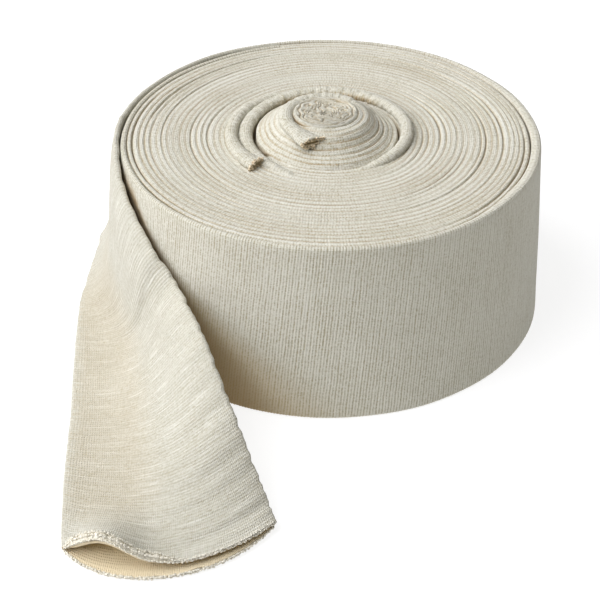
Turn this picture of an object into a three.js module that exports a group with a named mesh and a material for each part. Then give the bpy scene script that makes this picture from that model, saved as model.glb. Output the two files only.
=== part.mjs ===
// A roll of tubular bandage: one length of knitted tube, laid flat, wound up, its loose end drawn out.
// Millimetres, +Z up. The roll stands on its flat end; the origin is on its axis at the base.
import * as THREE from 'three';

const FLAT_WIDTH = 75;          // lay-flat width of the tube, and so the height of the roll
const LAYER = 1.15;             // thickness of one knitted layer
const SHEET_HALF = LAYER;       // two layers lie on each other, so the middle is one layer in

// The wound roll
const SEAM_ANGLE = 105;         // degrees, where the last turn goes over to the loose end
const SEAM_GAP_ANGLE = 0.4;     // degrees taken by the step at the seam
const SEAM_RADIUS = 82.4;       // top radius just under the loose end's first section
const TURN_SLACK = 0.5;         // the last turn lies a little loose
const LAST_TURN_GROWTH = 2 * LAYER + TURN_SLACK;
const BULGE = 0.45;             // how far the last turn bulges out on its loose side
const BASE_FLARE = 4.46;        // how much wider the roll is at its base than at its top
const COLUMNS_AROUND = 96;      // steps round the roll

// Heights of the wall's levels, each with how far the folded edge is drawn in there
const WALL_LEVELS = [
  { z: 0, inset: 1.1 },
  { z: 0.5, inset: 0.35 },
  { z: 1.4, inset: 0 },
  { z: 26, inset: -0.25 },
  { z: 50, inset: -0.2 },
  { z: 73.5, inset: 0 },
  { z: 74.6, inset: 0.35 },
  { z: FLAT_WIDTH, inset: 1.15 },
];

// The core that has worked its way up, as rings of the face: radius and height above the face
const CORE_PROFILE = [
  { radius: 0, rise: 9.6 },
  { radius: 6, rise: 9.9 },
  { radius: 12, rise: 10.2 },
  { radius: 14.5, rise: 8.9 },
  { radius: 17.5, rise: 7.9 },
  { radius: 20.5, rise: 6.0 },
  { radius: 24, rise: 3.6 },
  { radius: 27.5, rise: 1.0 },
  { radius: 30, rise: -0.8 },
  { radius: 32.5, rise: 0 },
];
const CORE_CENTRE = { x: -1.2, y: 0.5 };

// Two inner ends stand proud of the face. Each row: angle in degrees, radius of the crest, height.
const RING_CREST = [
  { angle: -70, radius: 29, height: 0 },
  { angle: -45, radius: 29.5, height: 1.6 },
  { angle: 0, radius: 30.8, height: 3.2 },
  { angle: 90, radius: 34.2, height: 3.0 },
  { angle: 150, radius: 37.2, height: 2.6 },
  { angle: 190, radius: 39.2, height: 2.8 },
  { angle: 222, radius: 39.0, height: 3.4 },
];
const RING_HALF_WIDTH = 3.2;
const TAIL_CREST = [
  { angle: 20, radius: 14.6, height: 0 },
  { angle: 60, radius: 14.8, height: 1.2 },
  { angle: 120, radius: 16.0, height: 1.8 },
  { angle: 180, radius: 17.6, height: 2.6 },
  { angle: 225, radius: 18.8, height: 3.0 },
  { angle: 252, radius: 19.6, height: 3.2 },
];
const TAIL_HALF_WIDTH = 3.4;

// Rings of the face, from the middle out. Those near the raised ring follow its crest.
const FACE_RINGS = [
  3, 6, 9, 12, 14, 16, 18, 20.5, 23, 25.5, 28,
  30.4, 32.4, 34.4, 36.4, 38.4, 41, 46, 56, 68, 78,
];
const RING_MEAN = 34.4;
const WARP_BEGINS = { from: 12, to: 30.4 };
const WARP_ENDS = { from: 38.4, to: 50 };

const radians = (degrees) => (degrees * Math.PI) / 180;
const clamp01 = (value) => Math.min(1, Math.max(0, value));
const smooth = (from, to, value) => {
  const t = clamp01((value - from) / (to - from));
  return t * t * (3 - 2 * t);
};

// Reads a column of a table at a place between its rows.
function along(table, key, at, column) {
  if (at <= table[0][key]) return table[0][column];
  for (let i = 1; i < table.length; i += 1) {
    if (at <= table[i][key]) {
      const t = (at - table[i - 1][key]) / (table[i][key] - table[i - 1][key]);
      return table[i - 1][column] + (table[i][column] - table[i - 1][column]) * t;
    }
  }
  return table[table.length - 1][column];
}

// Top radius of the outermost turn, from the seam once round to the seam again.
function turnRadius(degreesFromSeam) {
  const growth = (LAST_TURN_GROWTH * degreesFromSeam) / 360;
  return SEAM_RADIUS + growth + BULGE * Math.sin(radians(degreesFromSeam));
}

// Height that a raised end adds at an angle and radius.
function crestRise(table, halfWidth, angle, radius) {
  const first = table[0].angle;
  const turned = first + ((((angle - first) % 360) + 360) % 360);
  if (turned > table[table.length - 1].angle) return 0;
  const off = Math.abs(radius - along(table, 'angle', turned, 'radius')) / halfWidth;
  if (off >= 1) return 0;
  return along(table, 'angle', turned, 'height') * Math.cos((off * Math.PI) / 2);
}

// Where the raised ring's crest lies at any angle; between its two ends it swings back.
function ringRadius(angle) {
  const first = RING_CREST[0];
  const last = RING_CREST[RING_CREST.length - 1];
  const turned = first.angle + ((((angle - first.angle) % 360) + 360) % 360);
  if (turned <= last.angle) return along(RING_CREST, 'angle', turned, 'radius');
  const back = smooth(last.angle, first.angle + 360, turned);
  return last.radius + (first.radius - last.radius) * back;
}

function faceHeight(x, y) {
  const fromCore = Math.hypot(x - CORE_CENTRE.x, y - CORE_CENTRE.y);
  const radius = Math.hypot(x, y);
  const angle = (Math.atan2(y, x) * 180) / Math.PI;
  const core = along(CORE_PROFILE, 'radius', fromCore, 'rise');
  const ring = crestRise(RING_CREST, RING_HALF_WIDTH, angle, radius);
  const tail = crestRise(TAIL_CREST, TAIL_HALF_WIDTH, angle, radius);
  return FLAT_WIDTH + core + ring + tail;
}

// A closed body from rings of equal point count, with a middle point at each end.
function closedBody(name, material, rings, firstMiddle, lastMiddle) {
  const count = rings[0].length;
  const points = [...rings.flat(), firstMiddle, lastMiddle];
  const faces = [];
  const last = rings.length - 1;
  for (let j = 0; j < count; j += 1) {
    const k = (j + 1) % count;
    for (let i = 0; i < last; i += 1) {
      const a = i * count;
      const b = a + count;
      faces.push([a + j, a + k, b + k], [a + j, b + k, b + j]);
    }
    faces.push([points.length - 2, k, j], [points.length - 1, last * count + j, last * count + k]);
  }
  return meshOf(name, material, points, faces);
}

function meshOf(name, material, points, faces) {
  const volume = faces.reduce((sum, [a, b, c]) => {
    const cross = new THREE.Vector3().crossVectors(points[b], points[c]);
    return sum + points[a].dot(cross);
  }, 0);
  const outward = volume > 0 ? faces : faces.map(([a, b, c]) => [a, c, b]);
  const geometry = new THREE.BufferGeometry();
  const positions = points.flatMap((point) => [point.x, point.y, point.z]);
  geometry.setAttribute('position', new THREE.Float32BufferAttribute(positions, 3));
  geometry.setIndex(outward.flat());
  geometry.computeVertexNormals();
  const mesh = new THREE.Mesh(geometry, material);
  mesh.name = name;
  return mesh;
}

const knit = new THREE.MeshStandardMaterial({ color: 0xddd6c3, roughness: 0.95, metalness: 0 });
const looseKnit = new THREE.MeshStandardMaterial({ color: 0xe4dccb, roughness: 0.95, metalness: 0 });

function woundRoll() {
  const rings = [];
  for (const level of WALL_LEVELS) {
    const ring = [];
    for (let j = 0; j < COLUMNS_AROUND; j += 1) {
      const turned = (j * (360 - SEAM_GAP_ANGLE)) / (COLUMNS_AROUND - 1);
      const flare = BASE_FLARE * (1 - level.z / FLAT_WIDTH);
      const radius = turnRadius(turned) + flare - level.inset;
      const angle = radians(SEAM_ANGLE + turned);
      ring.push(new THREE.Vector3(radius * Math.cos(angle), radius * Math.sin(angle), level.z));
    }
    rings.push(ring);
  }
  for (const plain of [...FACE_RINGS].reverse()) {
    const ring = [];
    for (let j = 0; j < COLUMNS_AROUND; j += 1) {
      const degrees = SEAM_ANGLE + (j * 360) / COLUMNS_AROUND;
      const begun = smooth(WARP_BEGINS.from, WARP_BEGINS.to, plain);
      const ended = smooth(WARP_ENDS.from, WARP_ENDS.to, plain);
      const warp = begun * (1 - ended);
      const radius = plain + warp * (ringRadius(degrees) - RING_MEAN);
      const x = radius * Math.cos(radians(degrees));
      const y = radius * Math.sin(radians(degrees));
      ring.push(new THREE.Vector3(x, y, faceHeight(x, y)));
    }
    rings.push(ring);
  }
  const baseMiddle = new THREE.Vector3(0, 0, 0);
  const coreMiddle = new THREE.Vector3(0, 0, faceHeight(0, 0));
  return closedBody('wound_roll', knit, rings, baseMiddle, coreMiddle);
}

// The loose end. Each row is one section across the sheet, from the roll to the mouth: where its
// lower fold lies, which way the cloth sets off from there and how far it keeps that way, and where
// its upper fold lies, which way the cloth comes on to it and for how far.
const SECTIONS = [
  {
    lower: [-24.6, 86.0, 0.1], off: [0, 0, 1], lowReach: 20,
    upper: [-23.4, 81.7, 75], on: [0, 0, 1], topReach: 20,
  },
  {
    lower: [-43.6, 78.6, 0.1], off: [0, 0, 1], lowReach: 20,
    upper: [-45.2, 72.3, 75], on: [0, 0, 1], topReach: 20,
  },
  {
    lower: [-61.5, 68.0, 0.2], off: [0, -0.1, 1], lowReach: 20,
    upper: [-62.2, 58.0, 75], on: [0.05, -0.1, 1], topReach: 20,
  },
  {
    lower: [-81.0, 55.6, 0.4], off: [0.2, -0.3, 1], lowReach: 20,
    upper: [-75.0, 39.9, 75], on: [0.1, -0.15, 1], topReach: 20,
  },
  {
    lower: [-98.9, 41.2, 1.2], off: [0.5, -0.4, 0.9], lowReach: 18,
    upper: [-82.8, 20.6, 75], on: [0.15, -0.2, 1], topReach: 22,
  },
  {
    lower: [-100.9, 23.5, 2.4], off: [0.6, -0.4, 0.7], lowReach: 20,
    upper: [-85.2, 3.0, 75], on: [0.2, -0.25, 1], topReach: 22,
  },
  {
    lower: [-102.7, 3.0, 2.6], off: [0.75, -0.4, 0.6], lowReach: 22,
    upper: [-83.6, -17.4, 74.2], on: [0.3, -0.3, 0.9], topReach: 22,
  },
  {
    lower: [-104.1, -14.0, 2.0], off: [0.85, -0.35, 0.4], lowReach: 26,
    upper: [-78.6, -37.0, 67.6], on: [0.45, -0.35, 0.8], topReach: 22,
  },
  {
    lower: [-103.8, -32.0, 1.5], off: [1, -0.15, 0.05], lowReach: 30,
    upper: [-67.9, -56.0, 57.4], on: [0.6, -0.2, 0.75], topReach: 22,
  },
  {
    lower: [-102.9, -46.4, 1.25], off: [1, -0.1, 0], lowReach: 33,
    upper: [-58.9, -67.0, 49.4], on: [0.65, -0.15, 0.75], topReach: 22,
  },
  {
    lower: [-101.5, -66.0, 1.25], off: [1, -0.06, 0], lowReach: 34,
    upper: [-52.2, -82.4, 47.2], on: [0.7, 0, 0.7], topReach: 22,
  },
  {
    lower: [-99.8, -86.0, 1.25], off: [1, -0.08, 0], lowReach: 34,
    upper: [-45.6, -96.6, 42.8], on: [0.75, 0.2, 0.62], topReach: 22,
  },
  {
    lower: [-98.8, -105.4, 1.25], off: [1, -0.15, 0], lowReach: 34,
    upper: [-39.2, -110.6, 33.6], on: [0.8, 0.35, 0.5], topReach: 22,
  },
  {
    lower: [-97.9, -121.8, 1.25], off: [1, -0.25, 0], lowReach: 34,
    upper: [-33.4, -121.7, 24.3], on: [0.8, 0.5, 0.35], topReach: 22,
  },
  {
    lower: [-96.6, -137.0, 1.25], off: [1, -0.45, 0], lowReach: 32,
    upper: [-28.1, -130.8, 13.6], on: [0.75, 0.62, 0.2], topReach: 22,
  },
  {
    lower: [-95.4, -149.0, 1.25], off: [1, -0.75, 0], lowReach: 28,
    upper: [-23.6, -139.4, 6.4], on: [0.7, 0.75, 0.06], topReach: 24,
  },
  {
    lower: [-94.2, -158.2, 1.25], off: [1, -1.1, 0], lowReach: 26,
    upper: [-20.4, -147.7, 2.6], on: [0.6, 0.8, 0], topReach: 28,
  },
];
const STEPS_PER_SECTION = 3;
const ACROSS = 12;              // steps across the sheet, on each layer
const FOLD_STEPS = [45, 90, 135];
const LAYER_GAP_HALF = 0.2;     // the two layers lie a little apart
const POCKET_FROM = 0.3;        // where the inside of the tube begins, as a share of the sheet
const MOUTH_HEIGHT = 8.5;       // how far the upper layer stands up at the open side
const MOUTH_WIDTH = 0.46;       // share of the width that stands open
const MOUTH_DEPTH = 0.17;       // share of the length over which the mouth closes
const SLIT_HEIGHT = 1.1;        // how far the cut edges lie apart over the rest of the width
const SLIT_DEPTH = 0.07;
const LOWER_LIP_LEAD = 2.4;     // the lower layer is cut a little longer
const FRAME_STEP = 0.004;       // share of the sheet over which its direction is taken

const vectorOf = ([x, y, z]) => new THREE.Vector3(x, y, z);

// The four steering points of one section's curve.
function steeringPoints(section) {
  const off = vectorOf(section.off).normalize();
  const on = vectorOf(section.on).normalize();
  const start = vectorOf(section.lower).addScaledVector(off, SHEET_HALF);
  const end = vectorOf(section.upper).addScaledVector(on, -SHEET_HALF);
  const afterStart = start.clone().addScaledVector(off, section.lowReach);
  const beforeEnd = end.clone().addScaledVector(on, -section.topReach);
  return [start, afterStart, beforeEnd, end];
}

const rails = [0, 1, 2, 3].map((index) => {
  const points = SECTIONS.map((section) => steeringPoints(section)[index]);
  return new THREE.CatmullRomCurve3(points, false, 'catmullrom', 0.5);
});

// Middle of the sheet: u runs from the roll to the mouth, v from the lower fold to the upper one.
function sheetPoint(u, v) {
  const steering = rails.map((rail) => rail.getPoint(clamp01(u)));
  return new THREE.CubicBezierCurve3(...steering).getPoint(clamp01(v));
}

function sheetFrame(u, v) {
  const before = sheetPoint(u - FRAME_STEP, v);
  const below = sheetPoint(u, v - FRAME_STEP);
  const alongSheet = sheetPoint(u + FRAME_STEP, v).sub(before).normalize();
  const across = sheetPoint(u, v + FRAME_STEP).sub(below).normalize();
  const outward = new THREE.Vector3().crossVectors(alongSheet, across).normalize();
  return { point: sheetPoint(u, v), alongSheet, across, outward };
}

// How far the upper layer is lifted off the lower one near the mouth.
function mouthLift(u, v) {
  const near = smooth(1 - MOUTH_DEPTH, 1, u);
  const open = v < MOUTH_WIDTH ? Math.sin((v / MOUTH_WIDTH) * Math.PI) ** 2 : 0;
  const slit = Math.sqrt(Math.sin(v * Math.PI)) * smooth(1 - SLIT_DEPTH, 1, u);
  return MOUTH_HEIGHT * open * near + SLIT_HEIGHT * slit;
}

// One closed loop round a section, at a distance from the sheet's middle.
function sectionLoop(u, distance, lead) {
  const loop = [];
  for (let j = 0; j <= ACROSS; j += 1) {
    const v = j / ACROSS;
    const frame = sheetFrame(u, v);
    const point = frame.point.addScaledVector(frame.outward, distance);
    point.z += mouthLift(u, v);
    loop.push(point);
  }
  const upper = sheetFrame(u, 1);
  for (const degrees of FOLD_STEPS) {
    const point = upper.point.clone();
    point.addScaledVector(upper.outward, distance * Math.cos(radians(degrees)));
    point.addScaledVector(upper.across, distance * Math.sin(radians(degrees)));
    loop.push(point);
  }
  for (let j = ACROSS; j >= 0; j -= 1) {
    const frame = sheetFrame(u, j / ACROSS);
    const point = frame.point.addScaledVector(frame.outward, -distance);
    point.addScaledVector(frame.alongSheet, lead * Math.sin((j / ACROSS) * Math.PI));
    loop.push(point);
  }
  const lower = sheetFrame(u, 0);
  for (const degrees of FOLD_STEPS) {
    const point = lower.point.clone();
    point.addScaledVector(lower.outward, -distance * Math.cos(radians(degrees)));
    point.addScaledVector(lower.across, -distance * Math.sin(radians(degrees)));
    loop.push(point);
  }
  return loop;
}

function looseEnd() {
  const steps = (SECTIONS.length - 1) * STEPS_PER_SECTION;
  const pocketStart = Math.round(steps * POCKET_FROM);
  const rings = [];
  for (let i = 0; i <= steps; i += 1) {
    rings.push(sectionLoop(i / steps, SHEET_HALF, i === steps ? LOWER_LIP_LEAD : 0));
  }
  for (let i = steps; i >= pocketStart; i -= 1) {
    rings.push(sectionLoop(i / steps, LAYER_GAP_HALF, i === steps ? LOWER_LIP_LEAD : 0));
  }
  const startMiddle = sheetPoint(0, 0.5);
  const pocketMiddle = sheetPoint(pocketStart / steps, 0.5);
  return closedBody('loose_end', looseKnit, rings, startMiddle, pocketMiddle);
}

const bandage = new THREE.Group();
bandage.add(woundRoll(), looseEnd());

export default bandage;
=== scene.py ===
import math

import bmesh
import bpy
import numpy as np
from bpy.props import FloatProperty, FloatVectorProperty, PointerProperty
from bpy.types import Operator, Panel, PropertyGroup
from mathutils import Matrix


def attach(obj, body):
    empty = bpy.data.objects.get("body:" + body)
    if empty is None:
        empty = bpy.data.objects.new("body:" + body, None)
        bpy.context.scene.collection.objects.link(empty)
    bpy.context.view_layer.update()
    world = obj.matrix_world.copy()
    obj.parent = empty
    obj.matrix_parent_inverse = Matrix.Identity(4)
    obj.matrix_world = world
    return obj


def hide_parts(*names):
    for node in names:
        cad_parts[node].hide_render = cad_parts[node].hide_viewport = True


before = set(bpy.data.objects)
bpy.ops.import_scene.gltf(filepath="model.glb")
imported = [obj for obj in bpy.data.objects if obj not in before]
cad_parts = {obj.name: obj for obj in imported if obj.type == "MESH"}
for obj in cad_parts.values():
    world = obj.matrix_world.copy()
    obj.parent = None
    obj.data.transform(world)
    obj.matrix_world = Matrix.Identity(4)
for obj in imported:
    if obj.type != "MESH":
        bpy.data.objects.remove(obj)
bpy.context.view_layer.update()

bl_info = {
    "name": "Tubular bandage roll",
    "version": (1, 0, 0),
    "blender": (4, 5, 0),
    "location": "View3D > Sidebar > Bandage",
    "description": "Builds a wound roll of knitted tubular bandage with its loose end",
    "category": "Add Mesh",
}

# Lengths in the tables and functions below are millimetres; meshes are written in metres.
MM = 0.001
BODY = "root"
ROLL_NODE = "wound_roll"
LOOSE_NODE = "loose_end"

# The last turn: its top radius from the seam once round, and how the wall leans out to its base
SEAM_ANGLE = 105.0
SEAM_RADIUS = 82.4
TURN_SLACK = 0.5
BULGE = 0.45
BASE_FLARE = 4.46
RIB_LEAN = 4.4              # degrees by which a rib's top is ahead of its foot
LEAN_FADE = 40.0            # degrees over which the lean dies out at the seam

# The wall behind the loose end, which light only reaches through the cloth, gets a painted shadow:
# where on the wall's height the loose end's edge stands, in degrees, and how far the painted shadow
# reaches past it
POCKET_SHADOW = {
    "height": [0, 3, 22, 40, 53, 62, 75],
    "edge": [242, 241, 236, 228, 219, 211, 200],
    "reach": [44, 43, 31, 15, 6, 4, 2],
}

# The wound mass inside the last turn, as seen on the face
OUTER_TURNS = 24
OUTER_PITCH = 2.296
BASE_TURNS = 36
# Points along one turn on the face, on the core and on the base
OUTER_STEPS = 420
CORE_STEPS = 260
BASE_STEPS = 180
SKIRT = 3.0                 # first step down of the hidden sides under the relief
SKIRT_LEVEL = 12.0          # how far under the face those sides end
CORE_CENTRE = np.array([-1.8, 0.5])
# Turn boundaries round the core disc: how many turns from the middle, and their radius
CORE_TURNS = {"turn": [6, 7, 8, 11, 15, 16.6], "radius": [8.6, 10.8, 13.0, 19.5, 27.3, 30.3]}
CORE_FIRST_TURN = 8
# How far the core has worked its way up, against its radius
CORE_PROFILE = {
    "radius": [0, 6, 12, 14.5, 17.5, 20.5, 24, 27.5, 30],
    "rise": [9.6, 9.9, 9.9, 8.6, 7.9, 6.0, 3.6, 0.9, 0],
}
DISC_RADIUS = 13.2
DISC_FOLD = 2.2            # distance between two crumpled folds of the disc
# The opening between the core and the turns round it, on angles from the roll's axis
OPENING = {
    "angle": [-100, -75, -40, 0, 45, 90, 130, 165, 195, 220, 240, 260],
    "radius": [28, 28, 27.9, 27.9, 29.0, 30.4, 30.8, 30.9, 30.9, 30.6, 30, 28],
    "half": [0.6, 0.6, 0.6, 0.8, 0.7, 0.8, 1.0, 1.2, 1.2, 0.9, 0.6, 0.6],
    "depth": [0, 0.1, 1.0, 1.8, 1.8, 2.4, 6.0, 10.0, 9.0, 2.6, 0.2, 0],
}
# The two inner cut ends, standing proud: where the crest lies and how high
RING_CREST = {
    "angle": [-84, -66, -45, 0, 45, 90, 130, 165, 195, 215, 232, 250],
    "radius": [28.9, 29.3, 29.8, 31.0, 32.1, 33.6, 33.9, 33.8, 33.9, 34.1, 34.5, 34.8],
    "height": [-1.9, -0.3, 1.5, 3.0, 3.0, 2.8, 2.3, 1.8, 1.7, 1.6, 1.1, -0.6],
    "half_width": [1.6, 2.0, 2.4, 2.5, 2.5, 2.5, 2.7, 2.8, 2.7, 2.5, 2.1, 1.6],
    "lean": [0] * 12,
}
OUTER_CREST = {
    "angle": [92, 112, 130, 150, 190, 210, 222],
    "radius": [36.8, 37.5, 38.1, 38.8, 39.6, 39.4, 38.9],
    "height": [-1.8, 0.4, 1.7, 2.3, 2.6, 2.8, 2.9],
    "half_width": [1.6, 1.9, 2.2, 2.4, 2.5, 3.0, 4.0],
    "lean": [0, 0, 0, 0, 0, 4, 10],
}
TAIL_CREST = {
    "angle": [20, 60, 120, 180, 222, 234, 243, 250],
    "radius": [14.2, 14.7, 16.0, 17.6, 18.6, 19.2, 20.0, 20.9],
    "height": [-1.6, 0.9, 1.5, 2.2, 2.5, 2.6, 2.7, 2.7],
    "half_width": [1.6, 2.1, 2.4, 2.7, 3.1, 3.8, 4.7, 5.3],
    "lean": [0, 0, 0, 0, -6, -16, -32, -44],
}
# Gaps that have opened between turns: angles, turn counted from the seam, depth
OPEN_GROOVES = [
    {"first": -22, "last": 30, "turn": -1, "depth": 0.8},
    {"first": -55, "last": 12, "turn": -2, "depth": 0.8},
    {"first": 95, "last": 175, "turn": -4, "depth": 1.2},
    {"first": 150, "last": 215, "turn": -2, "depth": 0.9},
]

# The loose end. Each row is one section across the sheet, from the roll to the mouth: where its
# lower fold lies, which way the cloth sets off from there and how far it keeps that way, and where
# its upper fold lies, which way the cloth comes on to it and for how far.
SECTION_COLUMNS = ("lower", "off", "low_reach", "upper", "on", "top_reach")
SECTION_ROWS = [
    ((-43.6, 78.6, 0.1), (0, 0, 1), 20, (-45.2, 72.3, 75), (0, 0, 1), 20),
    ((-61.5, 68.0, 0.2), (0, -0.1, 1), 20, (-62.2, 58.0, 75), (0.05, -0.1, 1), 20),
    ((-81.0, 55.6, 0.4), (0.2, -0.3, 1), 20, (-75.0, 39.9, 75), (0.1, -0.15, 1), 20),
    ((-98.9, 41.2, 1.2), (0.5, -0.4, 0.9), 18, (-82.8, 20.6, 75), (0.15, -0.2, 1), 22),
    ((-100.9, 23.5, 2.4), (0.6, -0.4, 0.7), 20, (-85.2, 3.0, 75), (0.2, -0.25, 1), 22),
    ((-102.7, 3.0, 2.6), (0.75, -0.4, 0.6), 22, (-83.6, -17.4, 74.2), (0.3, -0.3, 0.9), 22),
    ((-104.1, -14.0, 2.0), (0.85, -0.35, 0.4), 26, (-78.6, -37.0, 67.6), (0.45, -0.35, 0.8), 22),
    ((-103.8, -32.0, 1.5), (1, -0.15, 0.05), 30, (-67.9, -56.0, 57.4), (0.6, -0.2, 0.75), 22),
    ((-102.9, -46.4, 1.25), (1, -0.1, 0), 33, (-58.9, -67.0, 49.4), (0.65, -0.15, 0.75), 22),
    ((-101.5, -66.0, 1.25), (1, -0.06, 0), 34, (-52.2, -82.4, 47.2), (0.7, 0, 0.7), 22),
    ((-99.8, -86.0, 1.25), (1, -0.08, 0), 34, (-45.6, -96.6, 42.8), (0.75, 0.2, 0.62), 22),
    ((-98.8, -105.4, 1.25), (1, -0.15, 0), 34, (-39.2, -110.6, 33.6), (0.8, 0.35, 0.5), 22),
    ((-97.9, -121.8, 1.25), (1, -0.25, 0), 34, (-33.4, -121.7, 24.3), (0.8, 0.5, 0.35), 22),
    ((-96.6, -137.0, 1.25), (1, -0.45, 0), 32, (-28.1, -130.8, 13.6), (0.75, 0.62, 0.2), 22),
    ((-95.4, -149.0, 1.25), (1, -0.75, 0), 28, (-23.6, -139.4, 6.4), (0.7, 0.75, 0.06), 24),
    ((-94.2, -158.2, 1.25), (1, -1.1, 0), 26, (-20.4, -147.7, 2.6), (0.6, 0.8, 0), 28),
]
SECTIONS = [dict(zip(SECTION_COLUMNS, row)) for row in SECTION_ROWS]
SECTION_STEP = 17.0         # degrees of the last turn between one section and the next
LAYER_GAP_HALF = 0.2
MOUTH_HEIGHT = 8.5          # how far the upper layer stands up at the open side
MOUTH_WIDTH = 0.46          # share of the width that stands open
MOUTH_DEPTH = 0.17          # share of the length over which the mouth closes
SLIT_HEIGHT = 1.1           # how far the rest of the mouth stands open
SLIT_DEPTH = 0.07
LOWER_LIP_LEAD = 2.4        # how far the lower lip reaches past the upper one


class BandageSizes(PropertyGroup):
    """Sizes of the knitted tube and its roll"""

    flat_width: FloatProperty(
        name="Flat width", description="Width of the tube laid flat, the roll's height",
        default=0.075, unit="LENGTH")
    layer: FloatProperty(
        name="Layer", description="Thickness of one knitted layer",
        default=0.00115, unit="LENGTH")
    rib_pitch: FloatProperty(
        name="Rib pitch", description="Distance between two elastic ribs along the tube",
        default=0.00115, unit="LENGTH")
    rib_height: FloatProperty(
        name="Rib height", description="How far a rib stands out of the cloth",
        default=0.00015, unit="LENGTH")
    wale_pitch: FloatProperty(
        name="Wale pitch", description="Distance between two columns of stitches",
        default=0.00072, unit="LENGTH")
    groove_depth: FloatProperty(
        name="Groove depth", description="Usual depth of the groove between two turns",
        default=0.00042, unit="LENGTH")
    thread: FloatProperty(
        name="Thread", description="Thickness of the yarn at a cut edge",
        default=0.00055, unit="LENGTH")
    fringe: FloatProperty(
        name="Fringe", description="Length of the loops at the cut mouth",
        default=0.0014, unit="LENGTH")


class BandageColours(PropertyGroup):
    """Colours of the cloth and of the shade and light painted on it, as linear values"""

    light: FloatVectorProperty(
        name="Yarn", description="Unbleached cotton on the crest of a stitch",
        default=(0.655, 0.636, 0.545), subtype="COLOR", min=0, max=1)
    # Slub also paints the highlight along the crests of the folds
    slub: FloatVectorProperty(
        name="Slub", description="Thick pale places in the yarn",
        default=(0.80, 0.787, 0.705), subtype="COLOR", min=0, max=1)
    shade: FloatVectorProperty(
        name="Between stitches", description="Cloth between the stitches",
        default=(0.42, 0.38, 0.265), subtype="COLOR", min=0, max=1)
    # Groove and Deep paint shade into the cloth, in the crevices between turns and in hollows; Groove
    # also colours the dark holes between stitches
    groove: FloatVectorProperty(
        name="Groove", description="Cloth down between two turns",
        default=(0.43, 0.30, 0.13), subtype="COLOR", min=0, max=1)
    deep: FloatVectorProperty(
        name="Deep", description="Cloth that hardly any light reaches",
        default=(0.17, 0.11, 0.045), subtype="COLOR", min=0, max=1)
    # Inside is painted light: the golden glow of light shining through the cloth onto the tube's
    # inner face
    inside: FloatVectorProperty(
        name="Inside", description="Inner face of the tube",
        default=(0.79, 0.67, 0.45), subtype="COLOR", min=0, max=1)


class BandageStage(PropertyGroup):
    """Light and floor"""

    sun: FloatProperty(
        name="Key light", description="Strength of the soft light from the left",
        default=3.8, unit="NONE")
    top: FloatProperty(
        name="Top light", description="Strength of the soft light from above",
        default=1.0, unit="NONE")
    sky: FloatProperty(
        name="Fill light", description="Strength of the even light all round",
        default=0.05, unit="NONE")
    floor_glow: FloatProperty(
        name="Floor glow", description="Light that the lit table gives off",
        default=0.79, unit="NONE")
    floor_half: FloatProperty(
        name="Floor size", description="Half width of the floor",
        default=4.0, unit="LENGTH")


def smooth(first, last, value):
    """Eased step from 0 at first to 1 at last."""
    t = np.clip((value - first) / (last - first), 0, 1)
    return t * t * (3 - 2 * t)


def between(first, last, fade, angle):
    """1 between two angles, easing out over fade degrees at both ends."""
    turned = (angle - first) % 360
    span = (last - first) % 360
    return smooth(0, fade, turned) * (1 - smooth(span - fade, span, turned))


def uneven(at, waves, seed):
    """A smooth uneven line about 0, from sines of unrelated lengths: waves per unit of at."""
    rng = np.random.default_rng(seed)
    total = np.zeros_like(at, dtype=float)
    for wave in waves:
        total += np.sin(2 * math.pi * (wave * at + rng.random()))
    return total / len(waves)


def unit(vectors):
    """The same directions at length 1."""
    return vectors / np.maximum(np.linalg.norm(vectors, axis=-1, keepdims=True), 1e-9)


def sizes_mm():
    """The sizes in the sidebar, in millimetres."""
    sizes = bpy.context.scene.bandage_sizes
    return {name: getattr(sizes, name) / MM for name in BandageSizes.__annotations__}


def deselect_all():
    """Leaves edit mode and selects nothing."""
    if bpy.context.object and bpy.context.object.mode != "OBJECT":
        bpy.ops.object.mode_set(mode="OBJECT")
    bpy.ops.object.select_all(action="DESELECT")


def cloth_from_grid(name, points, across, along, shade, flip=False):
    """A flat grid of cloth, carried row by row to its place, with its yarn directions as UVs.

    points is rows by columns by 3; along and across are the distances of each point on the flat
    cloth, and shade tells how deep it lies between other cloth, which the material paints as shade.
    """
    rows, columns = points.shape[:2]
    deselect_all()
    bpy.ops.mesh.primitive_grid_add(x_subdivisions=columns - 1, y_subdivisions=rows - 1)
    obj = bpy.context.object
    obj.name = name
    mesh = obj.data
    mesh.name = name
    mesh.vertices.foreach_set("co", (points * MM).astype(np.float32).ravel())
    corner = np.zeros(len(mesh.loops), np.int32)
    mesh.loops.foreach_get("vertex_index", corner)
    flat = np.stack([np.broadcast_to(along, (rows, columns)).ravel(),
                     np.broadcast_to(across, (rows, columns)).ravel()], axis=1) * MM
    mesh.uv_layers.active.data.foreach_set("uv", flat[corner].astype(np.float32).ravel())
    # depth carries painted light and shade: painted shade up to 1, a painted highlight below 0,
    # painted light through the cloth above 1
    depth = mesh.attributes.new("depth", "FLOAT", "POINT")
    depth.data.foreach_set("value", np.broadcast_to(shade, (rows, columns)).ravel())
    mesh.update()
    bpy.ops.object.mode_set(mode="EDIT")
    bpy.ops.mesh.select_all(action="SELECT")
    if flip:
        bpy.ops.mesh.flip_normals()
    bpy.ops.mesh.remove_doubles(threshold=1e-7)
    bpy.ops.object.mode_set(mode="OBJECT")
    return obj


def finish_piece(obj, node, material):
    """Gives a piece its material and its place on the roll."""
    deselect_all()
    bpy.context.view_layer.objects.active = obj
    obj.select_set(True)
    bpy.ops.object.shade_smooth()
    obj.data.materials.clear()
    obj.data.materials.append(material)
    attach(obj, BODY)
    if node:
        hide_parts(node)
    obj.select_set(False)
    return obj


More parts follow.
